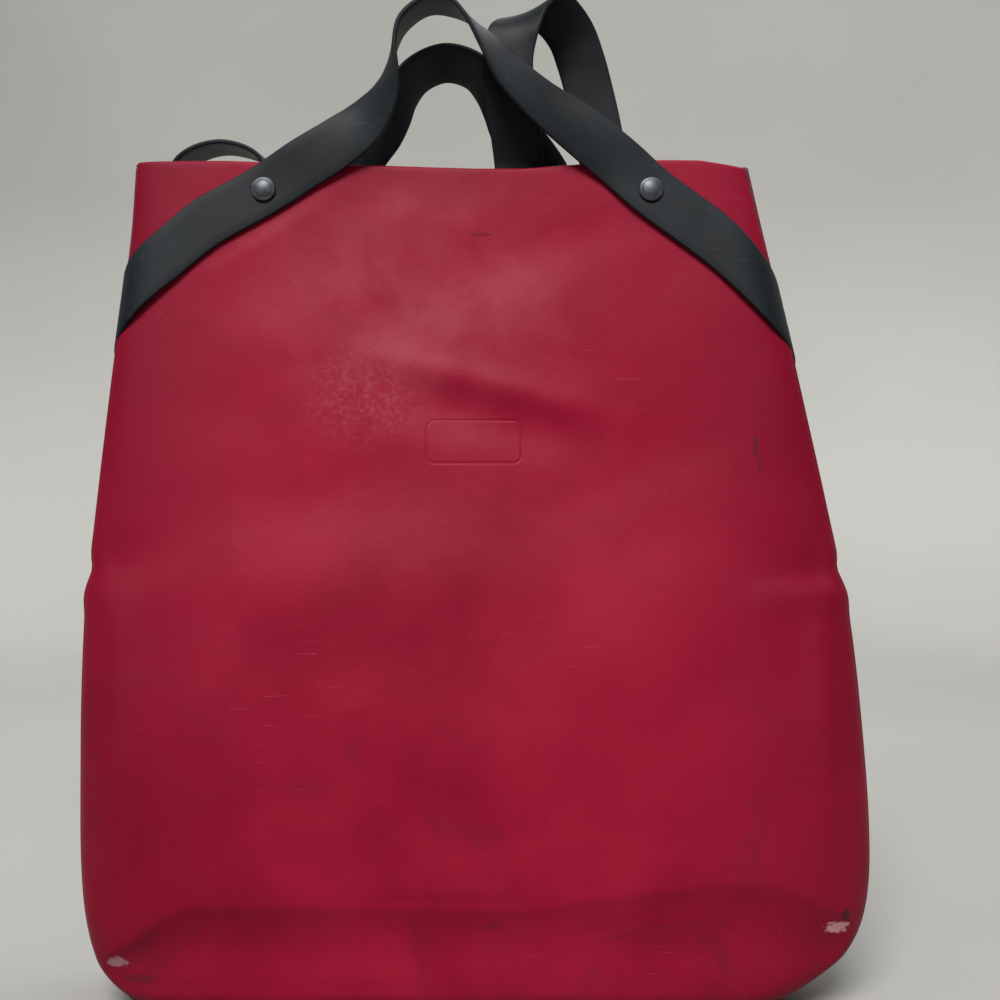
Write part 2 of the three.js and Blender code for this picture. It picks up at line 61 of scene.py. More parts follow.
# Thicknesses
FABRIC = 1.4
PLEAT = 0.9
LINING = 1.2
HEM_RADIUS = 1.6  # the rim's fabric is turned over inwards at this radius
HEM_DEPTH = 14
STRAP_WIDTH = 24.5
STRAP_THICKNESS = 2.2
STRAP_GAP = 0.4  # between a strap and what it lies on
STRAP_LIFT = STRAP_GAP + STRAP_THICKNESS / 2
STRAP_EDGE_RADIUS = 0.75
WELD_RADIUS = 0.75
BASE_WELD_RADIUS = 0.7

# Rivets and magnets
CAP_RADIUS = 5.8
CAP_RIM_RADIUS = 5.55
SHANK_RADIUS = 1.5
SHANK_LENGTH = 4
WASHER_RADIUS = 4.5
WASHER_HOLE = 1.9
WASHER_THICKNESS = 1
MAGNET_RADIUS = 6
MAGNET_EDGE = 5.7

# The front panel bends between these heights as the mouth opens; here they only mark where the side pleats
# are split in two and where they end
PLEAT_SPLIT = 300
PLEAT_TOP = RIM - 1.5
PLEAT_REACH = 31  # how far in the fold goes at the top, on top of the wall's own bow
WALL_REACH = 5

# Profiles over the height, as (height, value)
HALF_DEPTH = [(0, 28), (10, 41), (30, 46), (100, 46), (196, 34), (260, 24), (330, 15), (395, 8)]
SEAM_DEPTH = [(0, 18), (30, 26), (120, 26), (196, 20), (395, 3.5)]
LEFT_EDGE = [(0, -141), (5, -155), (14, -166), (26, -173), (55, -178), (110, -179.3), (183, -179),
             (222, -175.8), (300, -168.4), (357, -161.8), (395, -159.8)]
RIGHT_EDGE = [(0, 128), (5, 142), (17, 160), (29, 173), (50, 180.5), (82, 182), (135, 178.8),
              (184, 174), (235, 164.4), (272, 156.9), (308, 149.4), (357, 138.2), (395, 130.2)]
CORNER_POWER = 14  # how square a horizontal section's corners are
SOFT_CORNER_POWER = 6


# ---------------------------------------------------------------- shape helpers

def smooth(t):
    """0 to 1 with soft ends."""
    t = np.clip(t, 0, 1)
    return t * t * (3 - 2 * t)


def bell(distance, width):
    """1 at no distance, falling to 0 over about two widths."""
    return np.exp(-(distance / width) ** 2)


def along(profile, height):
    """A profile's value at a height, on a smooth curve through its points."""
    heights, values = np.array(profile, float).T
    slopes = np.gradient(values)
    slopes[1:-1] = (values[2:] - values[:-2]) / (heights[2:] - heights[:-2])
    slopes[0] = (values[1] - values[0]) / (heights[1] - heights[0])
    slopes[-1] = (values[-1] - values[-2]) / (heights[-1] - heights[-2])
    height = np.asarray(height, float)
    i = np.clip(np.searchsorted(heights, height, side="left") - 1, 0, len(heights) - 2)
    step = heights[i + 1] - heights[i]
    t = np.clip((height - heights[i]) / step, 0, 1)
    start = (2 * t**3 - 3 * t**2 + 1) * values[i] + (t**3 - 2 * t**2 + t) * step * slopes[i]
    end = (3 * t**2 - 2 * t**3) * values[i + 1] + (t**3 - t**2) * step * slopes[i + 1]
    return start + end


def shell(side, across, height):
    """A point of the outer surface. side is -1 in front and 1 behind, and across runs -1 to 1."""
    left = along(LEFT_EDGE, height)
    right = along(RIGHT_EDGE, height)
    seam = along(SEAM_DEPTH, height)
    depth = along(HALF_DEPTH, height)
    crown = np.sqrt(np.maximum(0, 1 - np.abs(across) ** CORNER_POWER))
    x = (left + right) / 2 + across * (right - left) / 2
    y = side * (seam + (depth - seam) * crown)
    return np.stack(np.broadcast_arrays(x, y, np.asarray(height, float)), axis=-1)


def across_at(x, height):
    """Where x lies between the sides at a height: -1 on the left and 1 on the right."""
    left = along(LEFT_EDGE, height)
    right = along(RIGHT_EDGE, height)
    return (2 * x - left - right) / (right - left)


def shell_normal(side, x, height):
    """The direction out of the shell there, of length 1."""
    across = across_at(x, height)
    du = shell(side, across + 0.004, height) - shell(side, across - 0.004, height)
    dv = shell(side, across, height + 0.5) - shell(side, across, height - 0.5)
    normal = np.cross(du, dv) * -side
    return normal / np.linalg.norm(normal)


def closer_at_ends(count):
    """count values from -1 to 1, closer together towards both ends."""
    t = np.linspace(-1, 1, count)
    return np.sign(t) * (1 - (1 - np.abs(t)) ** 1.9)


def wander(x, z, size, seed):
    """Smooth noise from about -1 to 1 over a panel, with features of that size."""
    flat = [noise.noise(Vector((a / size, b / size, seed))) for a, b in zip(x.ravel(), z.ravel())]
    return np.array(flat).reshape(x.shape)


def near_segment(x, z, start, end):
    """Distance in the panel's plane from the segment start to end."""
    a = np.array(start, float)
    d = np.array(end, float) - a
    t = np.clip(((x - a[0]) * d[0] + (z - a[1]) * d[1]) / (d @ d), 0, 1)
    return np.hypot(x - a[0] - t * d[0], z - a[1] - t * d[1])


def ridge(x, z, start, end, width):
    """1 on a line from start to end, falling off sideways over width and softly past its ends."""
    a = np.array(start, float)
    d = np.array(end, float) - a
    length = np.hypot(*d)
    d = d / length
    s = (x - a[0]) * d[0] + (z - a[1]) * d[1]
    q = (x - a[0]) * -d[1] + (z - a[1]) * d[0]
    ends = smooth((s + 0.35 * length) / (0.7 * length)) * smooth((1.35 * length - s) / (0.7 * length))
    return bell(q, width) * ends


# ---------------------------------------------------------------- mesh helpers

def mesh_of(name, points, faces):
    """A smooth-shaded object from points in millimetres."""
    mesh = bpy.data.meshes.new(name)
    mesh.from_pydata([tuple(p) for p in np.asarray(points, float).reshape(-1, 3) * MM], [], faces)
    mesh.polygons.foreach_set("use_smooth", [True] * len(mesh.polygons))
    made = bpy.data.objects.new(name, mesh)
    scene.collection.objects.link(made)
    return made


def grid_faces(rows, columns, around=False):
    """Quads of a grid whose columns x rows direction faces out. around joins the last column to the first."""
    faces = []
    for r in range(rows - 1):
        for c in range(columns if around else columns - 1):
            d = (c + 1) % columns
            faces.append((r * columns + c, r * columns + d, (r + 1) * columns + d, (r + 1) * columns + c))
    return faces


def sheet_of(name, grid, thickness):
    """A sheet whose grid is its outer face, with its thickness behind it."""
    rows, columns = grid.shape[:2]
    made = mesh_of(name, grid, grid_faces(rows, columns))
    solid = made.modifiers.new("thickness", "SOLIDIFY")
    solid.thickness = thickness * MM
    solid.offset = -1
    solid.use_quality_normals = True
    solid.material_offset = 1
    return made


def tube(name, path, radius, sides=10):
    """A round bead along a path."""
    path = np.asarray(path, float)
    tangents = np.gradient(path, axis=0)
    tangents /= np.linalg.norm(tangents, axis=1)[:, None]
    first = np.cross(tangents, [0.31, 0.87, 0.38])
    first /= np.linalg.norm(first, axis=1)[:, None]
    second = np.cross(tangents, first)
    angles = np.linspace(0, 2 * math.pi, sides, endpoint=False)
    ring = np.cos(angles)[None, :, None] * first[:, None] + np.sin(angles)[None, :, None] * second[:, None]
    grid = path[:, None] + radius * ring
    return mesh_of(name, grid, grid_faces(len(path), sides, around=True))


def turned(name, profile, point, direction, sides=40):
    """A turned piece from (radius, height) pairs, standing on point along direction."""
    up = Vector(direction).normalized()
    turn = Vector((0, 0, 1)).rotation_difference(up)
    angles = np.linspace(0, 2 * math.pi, sides, endpoint=False)
    points = []
    for radius, height in profile:
        for angle in angles:
            local = Vector((radius * math.cos(angle), radius * math.sin(angle), height))
            points.append(np.array(turn @ local) + point)
    return mesh_of(name, points, grid_faces(len(profile), sides, around=True))


def finish_piece(piece, materials):
    """Gives a piece its materials, outer face first."""
    for material in materials:
        piece.data.materials.append(material)
    return piece


# ---------------------------------------------------------------- materials

class Shader:
    """A material's node tree, built one node at a time."""

    def __init__(self, name):
        self.material = bpy.data.materials.new(name)
        self.material.use_nodes = True
        self.tree = self.material.node_tree
        self.surface = self.tree.nodes["Principled BSDF"]
        self.place = self.add("ShaderNodeTexCoord").outputs["Object"]

    def add(self, kind, inputs=None, **settings):
        made = self.tree.nodes.new(kind)
        for key, value in settings.items():
            setattr(made, key, value)
        for key, value in (inputs or {}).items():
            if isinstance(value, bpy.types.NodeSocket):
                self.tree.links.new(value, made.inputs[key])
            else:
                made.inputs[key].default_value = value
        return made

    def noise(self, scale, detail=3, roughness=0.5, distortion=0, place=None):
        inputs = {"Vector": place or self.place, "Scale": scale, "Detail": detail,
                  "Roughness": roughness, "Distortion": distortion}
        return self.add("ShaderNodeTexNoise", inputs).outputs["Fac"]

    def maths(self, operation, a, b=0.0, c=0.0):
        made = self.add("ShaderNodeMath", {0: a, 1: b, 2: c}, operation=operation)
        return made.outputs[0]

    def span(self, value, low, high, to_low=0.0, to_high=1.0):
        """value from low to high, mapped smoothly and clamped."""
        inputs = {"Value": value, "From Min": low, "From Max": high, "To Min": to_low, "To Max": to_high}
        return self.add("ShaderNodeMapRange", inputs, interpolation_type="SMOOTHSTEP").outputs["Result"]

    def mix(self, share, a, b):
        inputs = {0: share, 6: a, 7: b}
        return self.add("ShaderNodeMix", inputs, data_type="RGBA").outputs[2]

    def mapped(self, scale=(1, 1, 1), turn=(0, 0, 0)):
        inputs = {"Vector": self.place, "Scale": scale, "Rotation": turn}
        return self.add("ShaderNodeMapping", inputs).outputs["Vector"]

    def axis(self, letter):
        return self.add("ShaderNodeSeparateXYZ", {0: self.place}).outputs[letter]

    def spot(self, x, z, half_width, half_height, turn=0.0):
        """1 at a place on a panel, falling to 0 at the ellipse round it. Metres."""
        moved = self.add("ShaderNodeVectorMath", {0: self.place, 1: (-x, 0, -z)}, operation="ADD")
        inputs = {"Vector": moved.outputs[0], "Rotation": (0, turn, 0),
                  "Scale": (1 / half_width, 0, 1 / half_height)}
        place = self.add("ShaderNodeMapping", inputs).outputs["Vector"]
        length = self.add("ShaderNodeVectorMath", {0: place}, operation="LENGTH").outputs["Value"]
        return self.span(length, 1.0, 0.15)

    def bump(self, height, strength, distance, under=None):
        inputs = {"Height": height, "Strength": strength, "Distance": distance}
        if under:
            inputs["Normal"] = under
        return self.add("ShaderNodeBump", inputs).outputs["Normal"]

    def done(self, colour, roughness, normal, **values):
        self.tree.links.new(colour, self.surface.inputs["Base Color"])
        self.tree.links.new(roughness, self.surface.inputs["Roughness"])
        self.tree.links.new(normal, self.surface.inputs["Normal"])
        for key, value in values.items():
            self.surface.inputs[key.replace("_", " ")].default_value = value
        return self.material


def scratches(shader, turn, coarse, threshold):
    """Thin straight scratches in one direction."""
    place = shader.mapped((coarse * 0.05, coarse * 0.05, coarse), turn)
    lines = shader.noise(1.0, 2, 0.6, 0.4, place)
    where = shader.noise(19, 2, 0.5, 0)
    return shader.maths("MULTIPLY", shader.span(lines, threshold, threshold + 0.05),
                        shader.span(where, 0.5, 0.66))


def coated_fabric(name, front):
    """Red rubberised fabric: satin, mottled, with smudges, scratches and scuffed corners, painted shade
    towards its sides, and on the front a painted sheen.
    """
    s = Shader(name)
    broad = s.noise(6.5, 3, 0.5, 0.6)
    middle = s.noise(26, 4, 0.55, 0.4)
    colour = s.mix(s.span(broad, 0.32, 0.7), (0.190, 0.0022, 0.0165, 1), (0.265, 0.0045, 0.0255, 1))
    colour = s.mix(s.maths("MULTIPLY", s.span(middle, 0.35, 0.75), 0.35), colour, (0.31, 0.0095, 0.034, 1))
    # Painted shade: darker in patches towards both sides, where the panel turns away from the light.
    beside = s.span(s.maths("ABSOLUTE", s.maths("ADD", s.axis("X"), 0.006)), 0.07, 0.185)
    side_shade = s.maths("MULTIPLY", beside, s.maths("MULTIPLY_ADD", middle, 0.5, 0.25))
    colour = s.mix(side_shade, colour, (0.085, 0.0008, 0.0085, 1))
    height = s.axis("Z")
    low = s.span(height, 0.19, 0.05)
    smudge = s.span(s.noise(15, 5, 0.62, 1.2), 0.53, 0.74)
    dirt = s.maths("MULTIPLY", smudge, s.maths("MULTIPLY_ADD", low, 0.42, 0.12))
    colour = s.mix(dirt, colour, (0.085, 0.006, 0.016, 1))
    speckle = s.span(s.noise(240, 4, 0.7), 0.66, 0.76)
    speckle = s.maths("MULTIPLY", speckle, s.span(s.noise(11, 2), 0.48, 0.7))
    colour = s.mix(s.maths("MULTIPLY", speckle, 0.22), colour, (0.42, 0.09, 0.12, 1))
    marks = s.maths("MAXIMUM", scratches(s, (0, 0.5, 0), 900, 0.7),
                    scratches(s, (0, -0.75, 0), 1100, 0.71))
    marks = s.maths("MAXIMUM", marks, scratches(s, (0, 1.45, 0), 800, 0.71))
    colour = s.mix(s.maths("MULTIPLY", marks, 0.14), colour, (0.46, 0.13, 0.16, 1))
    roughness = s.maths("MULTIPLY_ADD", broad, 0.14, 0.41)
    roughness = s.maths("MULTIPLY_ADD", smudge, 0.07, roughness)
    if front:
        ragged = s.noise(420, 5, 0.7)
        haze = s.maths("MULTIPLY", s.spot(-0.050, 0.284, 0.040, 0.034, 0.4), s.span(ragged, 0.42, 0.72))
        colour = s.mix(s.maths("MULTIPLY", haze, 0.2), colour, (0.47, 0.16, 0.19, 1))
        # Painted sheen: a broad pale patch over the upper middle, standing in for the reflection of the light
        # there.
        painted_sheen = s.maths("MULTIPLY", s.spot(-0.025, 0.325, 0.105, 0.075, 0.1), s.span(middle, 0.2, 0.8))
        colour = s.mix(s.maths("MULTIPLY", painted_sheen, 0.16), colour, (0.45, 0.19, 0.22, 1))
        for x, z, half_width, half_height, turn, share, tone in FRONT_WEAR:
            spot = s.spot(x, z, half_width, half_height, turn)
            torn = s.span(s.maths("MULTIPLY_ADD", ragged, 2.2, s.maths("SUBTRACT", spot, 1.25)), 0.1, 0.5)
            torn = s.maths("MULTIPLY", torn, s.span(spot, 0.02, 0.25))
            colour = s.mix(s.maths("MULTIPLY", torn, share), colour, tone)
    grain = s.noise(1900, 3, 0.6)
    soft = s.noise(75, 3, 0.5)
    normal = s.bump(soft, 0.35, 0.0006)
    normal = s.bump(grain, 0.28, 0.00022, normal)
    normal = s.bump(marks, -0.25, 0.0002, normal)
    if front:
        normal = s.bump(plain_deboss(s), 0.55, 0.0004, normal)
    return s.done(colour, roughness, normal, Specular_IOR_Level=0.1)


# Wear on the front, as x, z, half width, half height, turn, share and colour, in metres and radians
FRONT_WEAR = [
    (0.1650, 0.042, 0.009, 0.0045, 0.5, 0.6, (0.55, 0.33, 0.34, 1)),
    (0.1690, 0.048, 0.003, 0.0045, 0.2, 0.8, (0.03, 0.012, 0.014, 1)),
    (-0.160, 0.026, 0.008, 0.004, -0.6, 0.55, (0.30, 0.20, 0.21, 1)),
    (-0.150, 0.019, 0.012, 0.003, -0.4, 0.45, (0.05, 0.008, 0.014, 1)),
    (0.1315, 0.2595, 0.0014, 0.0085, 0.1, 0.8, (0.06, 0.012, 0.018, 1)),
    (0.1332, 0.251, 0.0011, 0.006, -0.15, 0.7, (0.06, 0.012, 0.018, 1)),
    (0.004, 0.360, 0.009, 0.0011, 0.12, 0.5, (0.09, 0.006, 0.016, 1)),
    (0.0105, 0.045, 0.007, 0.003, 0.0, 0.3, (0.07, 0.008, 0.015, 1)),
]


def plain_deboss(s):
    """A plain rounded frame pressed into the front: 0 in its groove and 1 elsewhere."""
    moved = s.add("ShaderNodeVectorMath", {0: s.place, 1: (-0.001, 0, -0.262)}, operation="ADD").outputs[0]
    flat = s.add("ShaderNodeVectorMath", {0: moved, 1: (1, 0, 1)}, operation="MULTIPLY").outputs[0]
    folded = s.add("ShaderNodeVectorMath", {0: flat}, operation="ABSOLUTE").outputs[0]
    corner = s.add("ShaderNodeVectorMath", {0: folded, 1: (0.018, 0, 0.006)}, operation="SUBTRACT").outputs[0]
    outside = s.add("ShaderNodeVectorMath", {0: corner, 1: (0, 0, 0)}, operation="MAXIMUM").outputs[0]
    distance = s.add("ShaderNodeVectorMath", {0: outside}, operation="LENGTH").outputs["Value"]
    from_line = s.maths("ABSOLUTE", s.maths("SUBTRACT", distance, 0.004))
    return s.span(from_line, 0.0002, 0.0010)


def lining_fabric():
    """Black woven lining."""
    s = Shader("woven_lining")
    warp = s.add("ShaderNodeTexWave", {"Vector": s.place, "Scale": 420, "Distortion": 0.6, "Detail": 1},
                 wave_type="BANDS", bands_direction="X").outputs["Fac"]
    weft = s.add("ShaderNodeTexWave", {"Vector": s.place, "Scale": 420, "Distortion": 0.6, "Detail": 1},
                 wave_type="BANDS", bands_direction="Z").outputs["Fac"]
    weave = s.maths("MULTIPLY", warp, weft)
    fade = s.noise(22, 4, 0.6)
    colour = s.mix(weave, (0.010, 0.010, 0.012, 1), (0.034, 0.034, 0.040, 1))
    colour = s.mix(s.span(fade, 0.4, 0.8, 0, 0.35), colour, (0.055, 0.050, 0.052, 1))
    roughness = s.maths("MULTIPLY_ADD", weave, -0.12, 0.86)
    return s.done(colour, roughness, s.bump(weave, 0.5, 0.0003), Sheen_Weight=0.15)


def strap_rubber():
    """Matte black rubber with a fine grain, dust and rubbed patches."""
    s = Shader("strap_rubber")
    broad = s.noise(14, 4, 0.6, 0.5)
    fine = s.noise(130, 5, 0.7)
    colour = s.mix(s.span(broad, 0.3, 0.75), (0.0045, 0.0062, 0.0080, 1), (0.0095, 0.0130, 0.0165, 1))
    dust = s.maths("MULTIPLY", s.span(fine, 0.56, 0.76), s.span(broad, 0.45, 0.65))
    colour = s.mix(s.maths("MULTIPLY", dust, 0.3), colour, (0.10, 0.105, 0.11, 1))
    marks = s.maths("MAXIMUM", scratches(s, (0, 0.65, 0.2), 1000, 0.7),
                    scratches(s, (0.3, -0.6, 0), 1200, 0.7))
    colour = s.mix(s.maths("MULTIPLY", marks, 0.35), colour, (0.11, 0.115, 0.12, 1))
    roughness = s.maths("MULTIPLY_ADD", broad, 0.16, 0.47)
    roughness = s.maths("MULTIPLY_ADD", dust, 0.15, roughness)
    normal = s.bump(s.noise(2400, 3, 0.6), 0.25, 0.0002)
    normal = s.bump(s.noise(95, 3, 0.5), 0.2, 0.0004, normal)
    return s.done(colour, roughness, normal, Specular_IOR_Level=0.2)


def metal(name, dark, light, metallic, low_roughness, turns):
    """Metal or painted metal with fine marks, rubbed brighter in patches."""
    s = Shader(name)
    patches = s.noise(210, 4, 0.6, 0.4)
    fine = s.noise(1500, 4, 0.6)
    colour = s.mix(s.span(patches, 0.35, 0.72), dark, light)
    colour = s.mix(s.span(fine, 0.6, 0.8, 0, 0.3), colour, tuple(min(1, 1.7 * v) for v in light[:3]) + (1,))
    roughness = s.maths("MULTIPLY_ADD", patches, 0.22, low_roughness)
    lines = s.noise(1.0, 2, 0.5, 0, s.mapped(turns, (0.4, 0.3, 0.2)))
    normal = s.bump(lines, 0.12, 0.0001)
    normal = s.bump(fine, 0.15, 0.0001, normal)
    return s.done(colour, roughness, normal, Metallic=metallic)


def board_plastic():
    """Grey fibreboard stiffener."""
    s = Shader("board_plastic")
    fibres = s.noise(1.0, 4, 0.6, 0.8, s.mapped((90, 900, 900)))
    patches = s.noise(30, 4, 0.6)
    colour = s.mix(s.span(fibres, 0.3, 0.75), (0.055, 0.055, 0.06, 1), (0.13, 0.13, 0.135, 1))
    colour = s.mix(s.span(patches, 0.45, 0.8, 0, 0.4), colour, (0.18, 0.17, 0.165, 1))
    roughness = s.maths("MULTIPLY_ADD", patches, 0.2, 0.55)
    return s.done(colour, roughness, s.bump(fibres, 0.3, 0.0003))


def floor_material():
    """Pale, even, matte."""
    s = Shader("pale_floor")
    cloud = s.noise(1.6, 3, 0.5)
    fine = s.noise(900, 3, 0.6)
    colour = s.mix(s.span(cloud, 0.3, 0.7), (0.335, 0.331, 0.312, 1), (0.360, 0.355, 0.336, 1))
    roughness = s.maths("MULTIPLY_ADD", fine, 0.1, 0.85)
    return s.done(colour, roughness, s.bump(fine, 0.1, 0.0003), Specular_IOR_Level=0.2)


RED_FRONT = coated_fabric("coated_fabric_front", True)
RED = coated_fabric("coated_fabric", False)
LINED = lining_fabric()
RUBBER = strap_rubber()
CAP_PAINT = metal("cap_paint", (0.045, 0.049, 0.056, 1), (0.082, 0.088, 0.098, 1), 0.55, 0.3, (900, 900, 60))
STEEL = metal("brushed_steel", (0.42, 0.42, 0.43, 1), (0.62, 0.62, 0.63, 1), 1.0, 0.22, (2500, 90, 90))
BOARD = board_plastic()


# ---------------------------------------------------------------- the shell

LEFT_RUN = ((-152, 345), (-79, 393))
RIGHT_RUN = ((134, 341), (70, 394))


def front_relief(x, z):
    """How far the front panel stands out of its plain shape, with its folds, dents and kinks."""
    out = 2.4 * bell(x - 4, 95) * bell(z - 128, 62)
    out -= 1.5 * ridge(x, z, (-165, 218), (-40, 240), 22)
    out += 1.0 * ridge(x, z, (-110, 192), (20, 206), 24)
    out += 0.9 * ridge(x, z, (55, 160), (150, 184), 22)
    out -= 1.3 * ridge(x, z, (60, 222), (158, 206), 20)
    out -= 1.2 * ridge(x, z, (30, 232), (110, 262), 18)
    out += 1.2 * ridge(x, z, (-110, 300), (-40, 345), 20)
    out -= 1.0 * ridge(x, z, (-30, 330), (70, 366), 14)
    # the dent across the middle, a ridge with a valley under it
    out += 1.7 * ridge(x, z, (-40, 301), (48, 278), 7)
    out -= 2.5 * ridge(x, z, (-34, 284), (44, 263), 13)
    # two soft dimples under the rim
    out += 1.0 * bell(x + 34, 9) * bell(z - 371, 12)
    out += 0.9 * bell(x + 1, 8) * bell(z - 368, 12)
    # kinks where the side gussets turn in: a sharp valley over a soft ridge
    left = smooth((-96 - x) / 88)
    right = smooth((x - 104) / 70)
    out -= 2.6 * left**2 * bell(z - 206 - 0.1 * (x + 180), 12)
    out += 1.3 * left**2 * bell(z - 188, 16)
    out -= 3.2 * right**1.6 * np.where(z > 199, bell(z - 199, 15), bell(z - 199, 2.6))
    out += 1.6 * right**1.6 * bell(z - 190, 8)
    # the puffed edges below the kinks
    out += 1.6 * bell(x + 161, 8) * smooth((195 - z) / 25) * smooth((z - 40) / 40)
    out += 1.8 * bell(x - 160, 8) * smooth((192 - z) / 20) * smooth((z - 50) / 40)
    # a faint crease, and the fold that arches over the base from corner to corner
    out -= 0.7 * ridge(x, z, (-44, 56.5), (29, 56), 1.6)
    arch = 54 + 9 * smooth((x - 20) / 90) - 30 * smooth((-120 - x) / 60) - 20 * smooth((x - 130) / 55)
    below = np.clip((arch - z) / (arch - FOOT), 0, 1)
    out += 0.8 * bell(z - arch - 8, 16)
    out -= 3.6 * np.sin(np.pi * below ** 0.9)
    out += 1.5 * wander(x, z, 70, 3.1) + 0.3 * wander(x, z, 27, 8.4)
    strap = np.minimum(near_segment(x, z, *LEFT_RUN), near_segment(x, z, *RIGHT_RUN))
    return limited(out, strap, 15, 30) * (0.45 + 0.55 * smooth((RIM - z) / 40))


def limited(out, distance, clear, free):
    """Keeps a panel's relief from standing out into a strap that lies on it."""
    room = 0.15 + 6 * smooth((distance - clear) / (free - clear))
    return np.minimum(out, room)


def back_relief(x, z):
    """The back panel's sag, kinks and dents."""
    out = 2.0 * bell(x + 6, 105) * bell(z - 118, 70)
    out -= 1.5 * ridge(x, z, (-150, 222), (-20, 210), 17)
    out -= 1.4 * ridge(x, z, (30, 206), (140, 224), 16)
    out += 1.2 * ridge(x, z, (-90, 186), (70, 178), 18)
    out += 1.4 * ridge(x, z, (-60, 296), (50, 318), 12)
    out -= 1.7 * ridge(x, z, (-60, 278), (50, 300), 12)
    out -= 3.0 * smooth((-96 - x) / 88) * bell(z - 203, 7)
    out -= 3.0 * smooth((x - 104) / 70) * bell(z - 201, 6)
    arch = 50 - 24 * smooth((np.abs(x) - 120) / 60)
    below = np.clip((arch - z) / (arch - FOOT), 0, 1)
    out -= 4.0 * np.sin(np.pi * below ** 0.8)
    out += 1.2 * wander(x, z, 58, 5.7) + 0.4 * wander(x, z, 23, 1.9)
    strap = near_segment(x, z, (-152.3, 84), (-151, 47))
    for start, end in BACK_CONTACTS:
        strap = np.minimum(strap, near_segment(x, z, start, end))
    return limited(out, strap, 16, 30) * (0.45 + 0.55 * smooth((RIM - z) / 40))


BACK_CONTACTS = [((147, 84), (148.5, 47)), ((-155, 293), (-110, 260)), ((135, 293), (90, 260)),
                 ((-61, 394), (-61.5, 357)), ((38, 394), (42, 357)), ((23, 394), (25, 332)),
                 ((-91, 380), (-91, 332))]


def front_dips(x):
    """How much the front rim rises and dips."""
    places = [-161, -118, -52, 2, 24, 52, 78, 108, 131]
    return np.interp(x, places, [1.0, 1.0, -0.9, -2.6, -2.6, -0.4, 1.6, 1.4, -2.0])


def back_dips(x):
    """How much the back rim rises and dips."""
    places = [-161, -100, -30, 40, 90, 131]
    return np.interp(x, places, [0.6, 1.2, -1.0, -1.4, 0.8, -1.6])


def edge_kink(height):
    """How far the shell's side edge moves out where the gusset turns in."""
    return -1.5 * bell(height - 203, 5) + 1.0 * bell(height - 190, 6)


def edge_x(hand, height):
    """The side edge of the shell."""
    return along(LEFT_EDGE if hand < 0 else RIGHT_EDGE, height) + hand * edge_kink(height)


def corner_softening(across, height):
    """How much further than the plain shell a full panel turns away towards its sides."""
    plain = np.sqrt(1 - np.abs(across) ** CORNER_POWER)
    round_one = np.sqrt(1 - np.abs(across) ** SOFT_CORNER_POWER)
    swell = along(HALF_DEPTH, height) - along(SEAM_DEPTH, height)
    return swell * (plain - round_one) * smooth((305 - height) / 80) * smooth((height - FOOT) / 30)


def panel_skin(name, side, relief, dips, columns=132, rows=176):
    """A front or back panel as one sheet from the base to the rim, where it is turned over inwards."""
    across = closer_at_ends(columns)
    if side > 0:
        across = across[::-1]
    heights = np.linspace(FOOT, RIM - HEM_RADIUS, rows)
    a, z = np.meshgrid(across, heights)
    grid = shell(side, a, z)
    from_edge = 1 - np.abs(a)
    grid[..., 1] -= side * corner_softening(a, z)
    grid[..., 1] += side * relief(grid[..., 0], z) * smooth(from_edge / 0.08) * smooth((z - FOOT) / 9)
    grid[..., 0] += np.sign(a) * edge_kink(z) * np.abs(a) ** 6
    grid[..., 2] += dips(grid[..., 0]) * smooth((z - 345) / 50)
    top = grid[-1]
    extra = []
    for angle in np.linspace(0, math.pi, 8)[1:]:
        row = top.copy()
        row[:, 1] -= side * HEM_RADIUS * (1 - math.cos(angle))
        row[:, 2] += HEM_RADIUS * math.sin(angle)
        extra.append(row)
    for depth in np.linspace(0, HEM_DEPTH, 7)[1:]:
        row = extra[6].copy()
        row[:, 2] -= depth
        extra.append(row)
    return sheet_of(name, np.concatenate([grid, np.array(extra)]), FABRIC)


def side_grid(hand, low, high, rows, columns=45):
    """Part of a side: a bowed wall below the fold, and a pleat folded inwards above it."""
    t = np.linspace(-1, 1, columns) * hand
    t, z = np.meshgrid(t, np.linspace(low, high, rows))
    wall = np.clip((z - FOOT) / (FOLD - FOOT), 0, 1)
    pleat = np.clip((z - FOLD) / (PLEAT_TOP - FOLD), 0, 1)
    reach = WALL_REACH * smooth((z - 95) / (FOLD - 95)) + PLEAT_REACH * pleat
    soft = 0.13
    fold = (math.hypot(1, soft) - np.sqrt(t**2 + soft**2)) / (math.hypot(1, soft) - soft)
    bow = 2.4 * (1 - t**2) * np.sin(np.pi * wall ** 0.8) * (z < FOLD)
    ripple = 0.8 * (1 - t**2) * wander(t * 26, z, 30, 6.0 + hand) * (1 - pleat) * smooth((z - FOOT) / 10)
    x = edge_x(hand, z) + hand * (bow + ripple - reach * fold)
    y = t * along(SEAM_DEPTH, z)
    return np.stack([x, y, z], axis=-1)


def base_skin():
    """The base panel: flat in the middle and turned up at its edges."""
    turn_x = 24
    turn_y = 12
    across, share = np.meshgrid(closer_at_ends(90), closer_at_ends(40)[::-1])
    edge = shell(1, across, np.full_like(across, FOOT))
    half = (along(RIGHT_EDGE, FOOT) - along(LEFT_EDGE, FOOT)) / 2
    y = share * edge[..., 1]
    side_turn = np.clip(1 - (1 - np.abs(across)) * half / turn_x, 0, 1) ** 2
    front_turn = np.clip(1 - (edge[..., 1] - np.abs(y)) / turn_y, 0, 1) ** 2
    z = FOOT * (1 - (1 - side_turn) * (1 - front_turn))
    return sheet_of("base_skin", np.stack([edge[..., 0], y, z], axis=-1), FABRIC)


def bend_with_mouth(piece):
    """Bakes the piece's placement into its mesh."""
    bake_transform(piece)


def pleat_blend(piece):
    """Bakes the piece's placement into its mesh."""
    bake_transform(piece)


